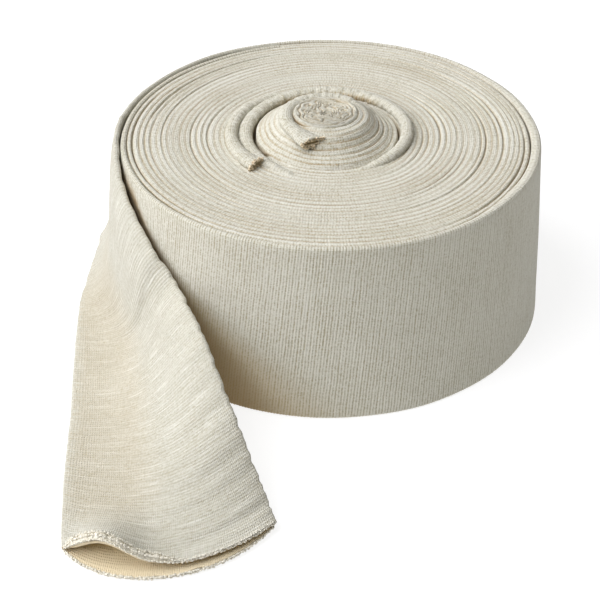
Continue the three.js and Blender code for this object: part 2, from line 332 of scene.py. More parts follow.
def close_below(obj, drop, flat_z):
    """Gives an open relief its hidden sides and underside."""
    bpy.context.view_layer.objects.active = obj
    bpy.ops.object.mode_set(mode="EDIT")
    bpy.ops.mesh.select_mode(type="EDGE")
    bpy.ops.mesh.select_all(action="DESELECT")
    bpy.ops.mesh.select_non_manifold(
        extend=False, use_wire=False, use_boundary=True, use_multi_face=False,
        use_non_contiguous=False, use_verts=False)
    bpy.ops.mesh.extrude_region_move(
        MESH_OT_extrude_region={}, TRANSFORM_OT_translate={"value": (0, 0, -drop * MM)})
    bpy.ops.transform.resize(
        value=(1, 1, 0), center_override=(0, 0, flat_z * MM), orient_type="GLOBAL")
    loops = boundary_loops(obj)
    if loops == 1:
        bpy.ops.mesh.edge_face_add()
    else:
        bpy.ops.mesh.bridge_edge_loops()
    bpy.ops.mesh.select_all(action="SELECT")
    bpy.ops.mesh.normals_make_consistent(inside=False)
    bpy.ops.object.mode_set(mode="OBJECT")
    return obj


def boundary_loops(obj):
    """How many separate closed loops the mesh's open edges form."""
    bm = bmesh.from_edit_mesh(obj.data)
    left = {edge for edge in bm.edges if edge.is_boundary}
    count = 0
    while left:
        count += 1
        todo = [left.pop()]
        while todo:
            edge = todo.pop()
            for vertex in edge.verts:
                near = [other for other in vertex.link_edges if other in left]
                left.difference_update(near)
                todo.extend(near)
    return count


# The last turn

def turn_radius(degrees):
    """Top radius of the last turn's outer side, against the angle from the seam."""
    growth = (2 * sizes_mm()["layer"] + TURN_SLACK) * degrees / 360
    return SEAM_RADIUS + growth + BULGE * np.sin(np.radians(degrees))


def flare(z, width):
    """How far the wall leans out at a height."""
    return BASE_FLARE * (1 - z / width)


def rib_relief(phase, height, seed):
    """Height of the ribs at a place counted in ribs; every second one is stronger."""
    rng = np.random.default_rng(seed)
    index = np.floor(phase + 0.5).astype(int)
    strength = 0.75 + 0.25 * (index % 2) + 0.35 * (rng.random(index.max() + 2)[index] - 0.5)
    return height * strength * (0.5 + 0.5 * np.cos(2 * math.pi * phase))


def ring_of(profile_r, profile_z, angle):
    """Points of a section, by radius and height, at an angle in degrees."""
    turned = np.radians(angle)
    return np.stack([profile_r * np.cos(turned), profile_r * np.sin(turned), profile_z], axis=-1)


def section_outline(width, thick, steps):
    """The flattened tube's own outline: offset from its middle line, and height, and side."""
    half = thick / 2
    straight = np.linspace(half, width - half, steps["wall"])
    top = np.radians(np.linspace(0, 180, steps["fold"] + 2)[1:-1])
    inner = np.linspace(width - half, half, steps["inner"])
    foot = np.radians(np.linspace(180, 360, steps["fold"] + 2)[1:-1])
    offset = np.concatenate([
        np.full(len(straight), half), half * np.cos(top),
        np.full(len(inner), -half), half * np.cos(foot), [half]])
    height = np.concatenate([
        straight, width - half + half * np.sin(top),
        inner, half + half * np.sin(foot), [half]])
    return offset, height


def last_turn():
    """The outermost turn: the whole flattened tube, with its ribs, once round."""
    size = sizes_mm()
    width, thick = size["flat_width"], 2 * size["layer"]
    around = math.pi * 2 * (SEAM_RADIUS + BASE_FLARE / 2 + thick / 2)
    ribs = round(around / size["rib_pitch"])
    phase = np.arange(ribs * 4 + 1) / 4
    degrees = phase / ribs * 360
    offset, height = section_outline(width, thick, {"wall": 30, "fold": 6, "inner": 5})
    s = degrees[:, None]
    lean = RIB_LEAN * smooth(0, LEAN_FADE, s) * (1 - smooth(360 - LEAN_FADE, 360, s))
    turned = s + lean * (height / width - 0.5)
    relief = rib_relief(phase, size["rib_height"], 3)[:, None]
    outward = offset / (thick / 2)
    wave = 0.22 * uneven(turned / 360 + height / 900, (5.3, 9.1, 14.7), 11)
    dent = between(236, 305, 20, SEAM_ANGLE + turned) * np.exp(-((height - 60) / 3.5) ** 2)
    wave = wave - 0.3 * dent
    radius = turn_radius(turned) - thick / 2 + flare(height, width)
    widen = loosened(SEAM_ANGLE + turned) * smooth(0.3, -0.8, outward)
    radius = radius + offset + relief * outward + wave - widen * smooth(width - 14, width - 3, height)
    z = height + relief * (np.abs(outward) < 1) * np.sign(height - width / 2)
    points = ring_of(radius, np.broadcast_to(np.maximum(z, 0), radius.shape),
                     SEAM_ANGLE + turned)
    across = np.concatenate([[0], np.cumsum(np.hypot(np.diff(offset), np.diff(height)))])
    # hidden paints the inner side of the wall under its top fold with the groove and deep colours, as
    # painted crevice shade
    hidden = smooth(0.2, -1, outward) * smooth(width, width - 3, height)
    angle = SEAM_ANGLE + turned
    # Painted shadow of the loose end on the wall behind it, carried in the depth attribute as groove
    # and deep colours
    edge = np.interp(height, POCKET_SHADOW["height"], POCKET_SHADOW["edge"])
    reach = np.interp(height, POCKET_SHADOW["height"], POCKET_SHADOW["reach"])
    painted_pocket_shadow = smooth(150, 190, angle) * (1 - smooth(edge - 1, edge + reach, angle)) ** 1.3
    hidden = np.maximum(hidden, painted_pocket_shadow * (1 - smooth(66, 73, height)))
    obj = cloth_from_grid("last_turn", points, across, phase[:, None] * size["rib_pitch"], hidden)
    close_ends(obj)
    return obj


def close_ends(obj):
    """Fills the two open ends of a tube and turns its faces outwards."""
    bpy.context.view_layer.objects.active = obj
    bpy.ops.object.mode_set(mode="EDIT")
    bpy.ops.mesh.select_all(action="SELECT")
    bpy.ops.mesh.fill_holes(sides=0)
    bpy.ops.mesh.select_all(action="SELECT")
    bpy.ops.mesh.normals_make_consistent(inside=False)
    bpy.ops.object.mode_set(mode="OBJECT")


# The turns that show on the face and on the base

ACROSS_TURN = np.array([0, 0.04, 0.12, 0.28, 0.5, 0.72, 0.88, 0.96, 1])


def loosened(angle):
    """How much wider than its two layers the last turn's top fold lies."""
    return 1.5 * between(-62, 58, 35, angle)


def outer_edge(turn):
    """Radius of the groove outside a turn; turn counts up to 0 at the seam."""
    s = 360 * turn
    settled = smooth(0, -2, turn)
    radius = SEAM_RADIUS + OUTER_PITCH * turn + BULGE * np.sin(np.radians(s))
    radius += settled * 0.42 * uneven(turn, (0.37, 0.83, 1.31, 2.17), 5)
    radius += smooth(-0.4, -2, turn) * 0.5 * uneven(turn % 1, (3, 2, 5), 6)
    return radius - loosened(SEAM_ANGLE + s) * np.clip(1 + (turn + 0.3) / 4, 0, 1)


def outer_groove(turn, usual):
    """Depth of the groove outside a turn."""
    angle = SEAM_ANGLE + 360 * turn
    side = 0.55 + 0.45 * np.cos(np.radians(angle)) ** 2
    depth = usual * side * np.clip(0.75 + 1.7 * uneven(turn, (0.61, 1.27, 2.9, 0.29), 8), 0.1, 2.2)
    depth = depth * (1 - 0.7 * smooth(-1.02, -0.98, turn)) + 0.5 * smooth(-1.02, -0.98, turn)
    depth *= 1 - 0.8 * smooth(1.9 - OUTER_TURNS, 0.9 - OUTER_TURNS, turn)
    for gap in OPEN_GROOVES:
        nth = np.floor(turn + 1e-9)
        depth += gap["depth"] * between(gap["first"], gap["last"], 18, angle) * (nth == gap["turn"])
    return np.maximum(depth, 0.2)


def core_rise(radius):
    """How far the core stands above the face."""
    return np.interp(radius, CORE_PROFILE["radius"], CORE_PROFILE["rise"])


def painted_valley_shade(low, lift, turn):
    """How strongly the cloth between two crests takes the groove colour as painted shade."""
    shallow = low ** 1.3 * np.clip(0.42 + 0.45 * uneven(turn, (0.37, 1.1, 3.3, 5.9), 17), 0, 1)
    return shallow + low ** 3 * np.maximum(-lift, 0) / 1.3


def opening_drop(x, y):
    """How far the cloth falls away beside the opening round the core."""
    angle = (np.degrees(np.arctan2(y, x)) + 100) % 360 - 100
    radius, half, depth = (np.interp(angle, OPENING["angle"], OPENING[name], left=0, right=0)
                           for name in ("radius", "half", "depth"))
    off = np.abs(np.hypot(x, y) - radius) / np.maximum(half, 0.1)
    return depth * np.clip(1.25 - off ** 2, 0, 1)


def turns_relief(edge, groove, crest, turns, steps, first_angle):
    """Polar points and depth of a spiral of folds, from its turn boundaries and grooves, with a
    painted highlight line along each crest.
    """
    turn = np.arange(turns[0] * steps, turns[1] * steps + 1)[:, None] / steps
    q = ACROSS_TURN[None, :]
    inner, outer = edge(turn - 1), edge(turn)
    radius = inner + (outer - inner) * q
    low = -(groove(turn - 1) * (1 - q) + groove(turn) * q)
    fold = (1 - np.abs(2 * q - 1) ** 2.4) ** 0.9
    lift = low + (crest(turn) - low) * fold
    angle = first_angle + 360 * turn
    # Painted highlight along the middle of each fold's crest
    painted_crest_highlight = np.exp(-((q - 0.5) / 0.17) ** 2) * (0.5 + 0.9 * uneven(turn, (0.83, 1.9, 4.1), 14))
    return turn, radius, angle, lift, 1 - fold, np.maximum(painted_crest_highlight, 0)


def outer_turns():
    """The flat face of folds between the last turn and the core."""
    size = sizes_mm()
    usual = size["groove_depth"]
    turn, radius, angle, lift, low, line = turns_relief(
        outer_edge, lambda t: outer_groove(t, usual),
        lambda t: 0.18 * uneven(t, (0.43, 1.19, 2.3, 0.11), 9) - 0.1,
        (1 - OUTER_TURNS, 0), OUTER_STEPS, SEAM_ANGLE)
    z = size["flat_width"] - 0.15 + lift
    z += 0.07 * uneven(radius * np.radians(angle) / 9, (1, 1.7), 12)
    points = ring_of(radius, z, angle)
    drop = opening_drop(points[..., 0], points[..., 1])
    points[..., 2] -= drop
    length = np.cumsum(np.concatenate([[0], 2 * math.pi * outer_edge(turn[1:, 0]) / OUTER_STEPS]))
    across = size["flat_width"] / 2 + (radius - radius.mean(axis=1, keepdims=True))
    # Painted shade in the valleys and beside the opening round the core, less the painted crest
    # highlight
    depth = np.clip(painted_valley_shade(low, lift, turn) + drop / 8, 0, 1) - 0.9 * line
    obj = cloth_from_grid("outer_turns", points, across, length[:, None], depth)
    return close_below(obj, SKIRT, size["flat_width"] - SKIRT_LEVEL)


def core_edge(turn):
    """Radius of the groove outside a turn of the core."""
    radius = np.interp(turn, CORE_TURNS["turn"], CORE_TURNS["radius"])
    return radius + 0.3 * smooth(8, 9, turn) * (1 - smooth(15, 16.5, turn)) * uneven(
        turn, (0.7, 1.9, 3.1), 22)


def core_turns():
    """The turns of the raised core."""
    size = sizes_mm()
    last = CORE_TURNS["turn"][-1]

    def groove(turn):
        angle = 360 * turn
        radius = core_edge(turn)
        depth = 0.22 + 0.30 * uneven(turn, (0.9, 2.1, 4.7), 23)
        step = np.exp(-((radius - 22.3) / 1.0) ** 2)
        return np.maximum(depth, 0.08) + 1.0 * step * between(285, 25, 20, angle)

    turn, radius, angle, lift, low, line = turns_relief(
        core_edge, groove, lambda t: 0.25 * uneven(t, (0.7, 1.9, 3.3), 24),
        (CORE_FIRST_TURN, last), CORE_STEPS, 0)
    x = CORE_CENTRE[0] + radius * np.cos(np.radians(angle))
    y = CORE_CENTRE[1] + radius * np.sin(np.radians(angle))
    drop = opening_drop(x, y)
    gentle = 1 - 0.35 * between(225, 50, 35, angle) * smooth(16, 23, radius)
    z = size["flat_width"] - 0.1 + core_rise(radius) * gentle + lift - drop
    z -= 1.1 * smooth(26.4, 28.8, radius) * between(222, 345, 25, angle)
    beside = between(60, 250, 40, angle)
    z -= (0.3 + 2.0 * beside) * (1 - smooth(12.6, 14.2, radius))
    length = np.cumsum(np.concatenate([[0], 2 * math.pi * core_edge(turn[1:, 0]) / CORE_STEPS]))
    across = size["flat_width"] / 2 + (radius - radius.mean(axis=1, keepdims=True))
    # Painted shade in the valleys and beside the opening round the core, less the painted crest
    # highlight
    depth = np.clip(painted_valley_shade(low, lift, turn) + drop / 8, 0, 1) - 0.6 * line
    obj = cloth_from_grid("core_turns", np.stack([x, y, z], axis=-1), across, length[:, None], depth)
    return close_below(obj, SKIRT, size["flat_width"] - SKIRT_LEVEL)


def core_disc():
    """The crumpled middle, whose folds wander instead of following turns."""
    size = sizes_mm()
    radius = DISC_RADIUS * np.concatenate(
        [np.linspace(0, 0.94, 66), [0.97, 0.99, 1.0, 1.003, 1.004]])[:, None]
    angle = np.linspace(0, 2 * math.pi, 361)[None, :]
    x, y = radius * np.cos(angle), radius * np.sin(angle)
    rng = np.random.default_rng(36)
    warp = np.zeros_like(x)
    for length in (5.0, 6.1, 7.4, 9.1, 11.5):
        heading, shift = rng.random(2) * 2 * math.pi
        warp += np.sin((x * math.cos(heading) + y * math.sin(heading)) * 2 * math.pi / length + shift)
    wander = 1.25 * warp * (0.25 + 0.75 * (1 - smooth(6.5, 10.5, radius)))
    wander += 0.35 * np.sin(9 * angle + 1) * smooth(7, 10, radius) * (1 - smooth(11, 12.5, radius))
    place = (radius + wander * (1 - smooth(11.3, 12.6, radius))) / DISC_FOLD + 0.12
    fold = (1 - np.abs(2 * (place % 1) - 1) ** 2.4) ** 0.8
    inside = 1 - smooth(11.6, 12.3, radius)
    relief = 0.8 * (fold - 1) * inside
    edge = np.sqrt(np.clip(1 - np.clip((radius / DISC_RADIUS - 0.93) / 0.07, 0, 1) ** 2, 0, 1))
    z = size["flat_width"] + core_rise(radius) + relief - 0.8 * (1 - edge) - 0.1
    z[-2:] -= np.array([[1.2], [2.6]])
    # Painted shade in the valleys of the crumpled folds and round the disc's edge
    depth = np.clip((1 - fold) * inside * 0.75 + smooth(12.9, 13.22, radius), 0, 1)
    points = np.stack([CORE_CENTRE[0] + x, CORE_CENTRE[1] + y, z], axis=-1)
    return close_below(
        cloth_from_grid("core_disc", points, radius * angle, radius, depth),
        0.5, size["flat_width"] + 3)


def base_turns():
    """The folds on the end that the roll stands on."""
    size = sizes_mm()

    def edge(turn):
        radius = (SEAM_RADIUS + BASE_FLARE) * (1 + turn / BASE_TURNS)
        return np.maximum(radius + 0.3 * smooth(0, -2, turn) * uneven(turn, (0.4, 0.9, 2.2), 31), 0)

    turn, radius, angle, lift, low, _ = turns_relief(
        edge, lambda t: 0.55 + 0.3 * uneven(t, (0.6, 1.3, 2.9), 32), lambda t: 0 * t,
        (1 - BASE_TURNS, 0), BASE_STEPS, SEAM_ANGLE)
    points = ring_of(radius, 0.05 - lift, angle)
    length = np.cumsum(np.concatenate([[0], 2 * math.pi * edge(turn[1:, 0]) / BASE_STEPS]))
    across = size["flat_width"] / 2 + (radius - radius.mean(axis=1, keepdims=True))
    # Painted shade in the valleys between the base turns
    obj = cloth_from_grid("base_turns", points, across, length[:, None], low * 0.6, flip=True)
    return close_below(obj, -SKIRT, SKIRT_LEVEL / 2)


# The two inner cut ends that stand proud of the face

def column(table, name, angle, soften):
    """A column of a table against the angle, with its corners softened."""
    near = np.linspace(-soften, soften, 9)
    read = [np.interp(angle + shift, table["angle"], table[name]) for shift in near]
    return np.mean(read, axis=0)


def proud_fold(name, table, level, thick, deep):
    """A fat fold along a crest, hollow at its cut end where deep tells how far."""
    size = sizes_mm()
    first, last = table["angle"][0], table["angle"][-1]
    mean = np.mean(table["radius"])
    steps = round(math.radians(last - first) * mean / size["rib_pitch"] * 4)
    phase = np.arange(steps + 1) / 4
    angle = np.linspace(first, last, steps + 1)
    radius = column(table, "radius", angle, 10)
    half = column(table, "half_width", angle, 4)
    lean = column(table, "lean", angle, 4)
    top = level(radius, angle) + column(table, "height", angle, 6)
    middle = ring_of(radius, top - thick, angle)
    wide_way = ring_of(np.ones_like(angle), np.zeros_like(angle), angle + lean)
    section = np.radians(np.arange(0, 361, 12))
    relief = rib_relief(phase, size["rib_height"] * 0.8, 41)[:, None]
    relief = relief + 0.16 * uneven(
        np.radians(angle)[:, None] * mean / 6 + np.sin(section) * 0.3, (1.0, 1.9), 44)
    pleat = between(40, 140, 20, angle)[:, None] * np.clip(-np.cos(section), 0, 1)
    lines = 0.5 + 0.5 * uneven(phase, (0.37, 0.61, 0.93), 45)[:, None]
    relief = relief + 0.14 * pleat * lines
    cut = 0.35 * uneven(section / (2 * math.pi), (2, 5, 3), 42)

    def loops(wide, high):
        flat = np.sign(np.cos(section)) * np.abs(np.cos(section)) ** 0.85
        return (middle[:, None] + wide_way[:, None] * (wide * flat)[..., None]
                + np.array([0, 0, 1.0]) * (high * np.sin(section))[..., None])

    body = loops(half[:, None] + relief, thick + relief)
    pieces, shades = [body], [np.zeros(body.shape[:2])]
    # Painted shade along the pleats on the fold's inner side, as tinted lines
    shades[0] += (0.3 + 0.7 * lines) * pleat * (1 - smooth(0.1, 0.9, np.sin(section)))[None, :]
    length = [phase]
    rim = None
    if deep:
        ahead = unit(middle[-1] - middle[-3])
        pieces[0][-1] += ahead * cut[:, None]
        back = np.unique(np.concatenate([[1], np.arange(2, round(deep / size["rib_pitch"] * 4), 3)]))
        wall = size["layer"] * 0.85
        hollow = loops(half[:, None] - 1.3 * wall, np.full((steps + 1, 1), thick - 1.45 * wall))
        lip = loops(half[:, None] - wall * 0.45, np.full((steps + 1, 1), thick - wall * 0.45))
        lip[-1] += ahead * (cut + 0.25)[:, None]
        pieces += [lip[-1:], hollow[-back]]
        # The cut lip takes painted shade, and the hollow mostly the painted light shining through the
        # cloth
        shades += [np.full((1, len(section)), 0.5), np.full((len(back), len(section)), 1.8)]
        length += [phase[-1:] + 0.3, phase[-1] + 0.6 + back / 4]
        rim = {"rim": pieces[0][-1], "inner": hollow[-1], "along": ahead}
    points = np.concatenate(pieces)
    run = np.concatenate(length)[:, None] * size["rib_pitch"]
    across = section / (2 * math.pi) * 2 * np.pi * np.mean(half)
    obj = cloth_from_grid(name, points, across, run, np.concatenate(shades))
    close_ends(obj)
    return obj, rim


def ring_level(radius, angle):
    """Ground of the folds that stand on the flat face."""
    return np.full_like(radius, sizes_mm()["flat_width"])


def tail_level(radius, angle):
    """Ground of the fold that stands on the core."""
    return sizes_mm()["flat_width"] + core_rise(radius)


# The loose end

def turn_section(degrees, width, half):
    """The last turn at an angle from the seam, in the columns of SECTIONS."""
    angle = SEAM_ANGLE + degrees
    radius = turn_radius(degrees) - half
    lower = ring_of(radius + BASE_FLARE, 0.0, angle)
    upper = ring_of(radius, width, angle)
    up = unit(upper - lower)
    return {"lower": lower, "off": up, "low_reach": 20, "upper": upper, "on": up, "top_reach": 20}


def steering_points(section, half):
    """The four points that steer one section's curve."""
    off = unit(np.array(section["off"], float))
    on = unit(np.array(section["on"], float))
    start = np.array(section["lower"], float) + off * half
    end = np.array(section["upper"], float) - on * half
    return [start, start + off * section["low_reach"], end - on * section["top_reach"], end]


def rail_points(points, u):
    """Reads a smooth rail through the second to the last of the points, u from 0 to 1."""
    points = np.concatenate([points, [2 * points[-1] - points[-2]]])
    spans = len(points) - 3
    place = np.clip(u, 0, 1) * spans
    i = np.minimum(place.astype(int), spans - 1)
    w = (place - i)[:, None]
    before, here, there, after = (points[i + k] for k in range(4))
    slope_here, slope_there = (there - before) / 2, (after - here) / 2
    return (here * (2 * w ** 3 - 3 * w ** 2 + 1) + slope_here * (w ** 3 - 2 * w ** 2 + w)
            + there * (3 * w ** 2 - 2 * w ** 3) + slope_there * (w ** 3 - w ** 2))


def middle_sheet(u, v):
    """Middle of the two layers at the lengths u and widths v, both as shares."""
    size = sizes_mm()
    half = size["layer"]
    rows = [turn_section(360 - SECTION_STEP, size["flat_width"], half),
            turn_section(360, size["flat_width"], half)] + SECTIONS
    steering = np.array([steering_points(row, half) for row in rows])
    rails = [rail_points(steering[:, k], u)[:, None, :] for k in range(4)]
    v = v[None, :, None]
    weights = [(1 - v) ** 3, 3 * (1 - v) ** 2 * v, 3 * (1 - v) * v ** 2, v ** 3]
    return sum(weight * rail for weight, rail in zip(weights, rails))


def mouth_lift(u, v):
    """How far the upper layer is lifted off the lower one near the mouth."""
    near = smooth(1 - MOUTH_DEPTH, 1, u)
    opened = np.where(v < MOUTH_WIDTH, np.sin(v / MOUTH_WIDTH * math.pi) ** 2, 0)
    slit = np.sqrt(np.clip(np.sin(v * math.pi), 0, 1)) * smooth(1 - SLIT_DEPTH, 1, u)
    return MOUTH_HEIGHT * opened * near + SLIT_HEIGHT * slit


def lip_curl(u, v, length):
    """How far the upper layer's cut edge rolls up, and how far it draws back."""
    edge = smooth(1 - 4.5 / length, 1, u) ** 1.5
    left = 0.3 + 0.7 * smooth(0.0, 0.1, v) * (1 - smooth(0.42, 0.56, v))
    ends = smooth(0, 0.03, v) * (1 - smooth(0.97, 1, v))
    return 1.6 * edge * left * ends, 1.1 * edge * left * ends


def sheet_length(count=400):
    """Length of the loose end, and the share u at even steps along it."""
    u = np.linspace(0, 1, count)
    line = middle_sheet(u, np.array([0.1, 0.5, 0.9])).mean(axis=1)
    run = np.concatenate([[0], np.cumsum(np.linalg.norm(np.diff(line, axis=0), axis=1))])
    return run[-1], u, run


def loose_loops(u, v, out, relief, length, lead):
    """Closed loops round the flattened tube, at a distance from the middle of its two layers."""
    middle = middle_sheet(u, v)
    along = unit(np.gradient(middle, axis=0))
    over = unit(np.gradient(middle, axis=1))
    outward = unit(np.cross(along, over))
    ripple = 0.42 * uneven(u * length, (0.07, 0.12, 0.19), 54) * smooth(0.12, 0.3, u)
    middle = middle + over * (ripple[:, None] * smooth(0.86, 1, v)[None, :])[..., None]
    wrinkle = 0.35 * uneven(u[:, None] * length / 9 + 1.3 * v[None, :], (0.31, 0.53, 0.9), 55)
    middle = middle + outward * (wrinkle * smooth(0.15, 0.3, u)[:, None])[..., None]
    spacing = np.linalg.norm(np.gradient(middle, axis=0), axis=-1) / (length / len(u))
    reach = out + (relief[:, None] * smooth(0.45, 1.1, spacing))[..., None]
    uu, vv = u[:, None], v[None, :]
    top = middle + outward * reach
    curl, draw = lip_curl(uu, vv, length)
    top[..., 2] += mouth_lift(uu, vv) + curl
    top -= along * draw[..., None]
    ragged = 0.45 * uneven(vv * 1.0, (7, 17, 29), 51) * smooth(1 - 3 / length, 1, uu)
    top += along * ragged[..., None]
    low = middle - outward * reach
    lip = lead * smooth(1 - 6 / length, 1, uu) * np.sin(vv * math.pi)
    frayed = 0.6 * uneven(vv * 1.0, (5, 13, 31), 52) * smooth(1 - 3 / length, 1, uu)
    low += along * (lip + frayed)[..., None]
    bend = np.radians([30, 60, 90, 120, 150])[None, :, None]
    upper_fold = middle[:, -1:] + reach[:, -1:] * (
        outward[:, -1:] * np.cos(bend) + over[:, -1:] * np.sin(bend))
    lower_fold = middle[:, :1] - reach[:, :1] * (
        outward[:, :1] * np.cos(bend) + over[:, :1] * np.sin(bend))
    loops = np.concatenate([top, upper_fold, low[:, ::-1], lower_fold, top[:, :1]], axis=1)
    loops[..., 2] = np.maximum(loops[..., 2], 0.03)
    return loops


def loose_end():
    """The loose end: both layers in one skin, with the inside of its open mouth."""
    size = sizes_mm()
    length, u_read, run = sheet_length()
    ribs = int(length / size["rib_pitch"])
    phase = np.arange(ribs * 4 + 1) / 4
    u = np.interp(phase / ribs * length, run, u_read)
    v = np.linspace(0, 1, 25)
    relief = rib_relief(phase, size["rib_height"] * 0.4, 53)
    outer = loose_loops(u, v, size["layer"], relief, length, LOWER_LIP_LEAD)
    fine = np.arange(len(u) - 1, len(u) - 14 * 4, -1)
    coarse = np.arange(fine[-1] - 8, round(len(u) * 0.3), -12)
    inside = np.concatenate([fine, coarse])
    inner = loose_loops(u, v, LAYER_GAP_HALF, -relief, length, LOWER_LIP_LEAD)[inside]
    points = np.concatenate([outer, inner])
    run_length = np.concatenate([phase, phase[inside]])[:, None] * size["rib_pitch"]
    lap = np.linalg.norm(np.diff(outer[:1], axis=1), axis=2)[0]
    across = np.concatenate([[0], np.cumsum(lap)])[None, :]
    shade = np.zeros(points.shape[:2])
    # Painted shade on the flap of the loose end, which the key light lights too strongly
    painted_flap_shade = (1 - smooth(0.28, 0.55, v))[None, :] * smooth(0.3, 0.45, u)[:, None]
    shade[:len(outer), :len(v)] = 0.22 * painted_flap_shade * (1 - smooth(0.85, 0.95, u))[:, None]
    # The inner face takes the Inside colour: painted light shining through the cloth
    shade[len(outer):] = 2
    obj = cloth_from_grid("loose_sheet", points, across, run_length, shade)
    close_ends(obj)
    return obj, length


# Threads at the cut edges

def thread_mesh(name, paths, thick, sides=5):
    """One mesh of many short threads; paths is threads by points by 3."""
    count, steps = paths.shape[:2]
    ahead = unit(np.gradient(paths, axis=1))
    side = unit(np.cross(ahead, np.array([0.31, 0.22, 0.92])))
    up = np.cross(ahead, side)
    taper = thick / 2 * (1 - 0.35 * np.linspace(-1, 1, steps) ** 4)[None, :, None, None]
    turn = np.linspace(0, 2 * math.pi, sides, endpoint=False)[None, None, :, None]
    rings = paths[:, :, None] + taper * (
        side[:, :, None] * np.cos(turn) + up[:, :, None] * np.sin(turn))
    rings[..., 2] = np.maximum(rings[..., 2], 0.03)
    index = np.arange(count * steps * sides).reshape(count, steps, sides)
    a, b = index[:, :-1], index[:, 1:]
    quads = np.stack([a, np.roll(a, -1, axis=2), np.roll(b, -1, axis=2), b], axis=-1)
    faces = quads.reshape(-1, 4).tolist()
    faces += index[:, 0, ::-1].tolist() + index[:, -1].tolist()
    mesh = bpy.data.meshes.new(name)
    mesh.from_pydata((rings.reshape(-1, 3) * MM).tolist(), [], faces)
    obj = bpy.data.objects.new(name, mesh)
    bpy.context.collection.objects.link(obj)
    deselect_all()
    bpy.context.view_layer.objects.active = obj
    obj.select_set(True)
    bpy.ops.object.mode_set(mode="EDIT")
    bpy.ops.mesh.select_all(action="SELECT")
    bpy.ops.mesh.normals_make_consistent(inside=False)
    bpy.ops.object.mode_set(mode="OBJECT")
    return obj


def edge_loops(edge, ahead, up, length, rng, curl, steps=8):
    """Small loops of yarn that stand out of a cut edge."""
    count = len(edge)
    t = np.linspace(0, 1, steps)[None, :, None]
    aside = unit(np.gradient(edge, axis=0))
    wide = (0.35 + 0.5 * rng.random((count, 1, 1))) * np.where(rng.random((count, 1, 1)) < 0.5, 1, -1)
    long = length * (0.5 + 0.9 * rng.random((count, 1, 1)))
    tilt = curl * (0.6 + 0.8 * rng.random((count, 1, 1)))
    out = ahead[:, None] + up[:, None] * tilt
    sway = aside[:, None] * (rng.random((count, 1, 1)) - 0.5) * 0.8
    hump = np.sin(t * math.pi * 0.92)
    return edge[:, None] + out * long * hump + (aside[:, None] * wide * (t - 0.3) + sway * hump) * 1.1


def mouth_edge(side, v, height):
    """A line along a cut lip of the mouth, at a height through its layer, with its directions."""
    length, _, _ = sheet_length()
    u = np.array([1 - 3 / length, 1 - 0.6 / length, 1.0])
    middle = middle_sheet(u, v)
    along = unit(middle[2] - middle[0])
    outward = unit(np.cross(along, unit(np.gradient(middle[2], axis=0))))
    if side == "upper":
        curl, draw = lip_curl(u[2:, None], v[None, :], length)
        edge = middle[2] + outward * height
        edge[:, 2] += (mouth_lift(u[2:, None], v[None, :]) + curl)[0]
        return edge - along * draw[0][:, None], along, unit(outward + np.array([0, 0, 1.0]))
    edge = middle[2] - outward * height
    lead = LOWER_LIP_LEAD * np.sin(v * math.pi)
    return edge + along * (lead - 0.3)[:, None], along, outward


def roll_size(v):
    """Radius of the upper lip's curled edge across the mouth."""
    return 0.36 + 0.95 * smooth(0, 0.07, v) * (1 - smooth(0.44, 0.60, v))


def lip_roll():
    """The raw edge of the upper lip, curled up into a lumpy roll."""
    v = np.linspace(0.004, 0.996, 340)
    across = v * sizes_mm()["flat_width"]
    edge, along, up = mouth_edge("upper", v, 0.65)
    lump = 1 + 0.22 * uneven(across, (0.16, 0.43, 0.9), 57) + 0.10 * uneven(across, (1.7, 2.3), 58)
    radius = roll_size(v) * lump * (1 - 0.75 * np.abs(2 * v - 1) ** 40)
    centre = edge + up * (radius - 0.5)[:, None] - along * (0.75 * radius)[:, None]
    around = np.radians(np.arange(0, 361, 20))[None, :, None]
    bump = 1 + 0.10 * uneven(across[:, None] + 2 * np.sin(around[..., 0]), (0.9, 1.4), 59)
    ring = (radius[:, None] * bump)[..., None]
    points = centre[:, None] + ring * (along[:, None] * np.cos(around) + up[:, None] * np.sin(around))
    obj = cloth_from_grid("lip_roll", points, around[0, :, 0], across[:, None], np.zeros((1, 1)))
    close_ends(obj)
    return obj


def mouth_fringe():
    """Loops of yarn along both lips of the mouth."""
    size = sizes_mm()
    rng = np.random.default_rng(61)
    count = round(size["flat_width"] / size["wale_pitch"] * 1.3)
    v = np.linspace(0.006, 0.994, count)
    paths = []
    for row in range(3):
        edge, along, up = mouth_edge("upper", v, 0.65)
        radius = roll_size(v)[:, None]
        turned = math.radians(10 + 50 * row)
        way = along * math.cos(turned) + up * math.sin(turned)
        edge = edge + up * (radius - 0.5) - along * 0.75 * radius + way * radius * 0.85
        reach = size["fringe"] * (0.05 + 0.45 * roll_size(v))[:, None, None]
        shifted = edge + 0.3 * (rng.random(edge.shape) - 0.5)
        paths.append(edge_loops(shifted, way, up, reach, rng, 0.2))
    for row in range(3):
        edge, along, outward = mouth_edge("lower", v, 0.35 + 0.35 * row)
        shifted = edge + 0.3 * (rng.random(edge.shape) - 0.5)
        paths.append(edge_loops(shifted, along, outward, size["fringe"] * 0.6, rng, 0.2))
    return thread_mesh("mouth_fringe", np.concatenate(paths), size["thread"])


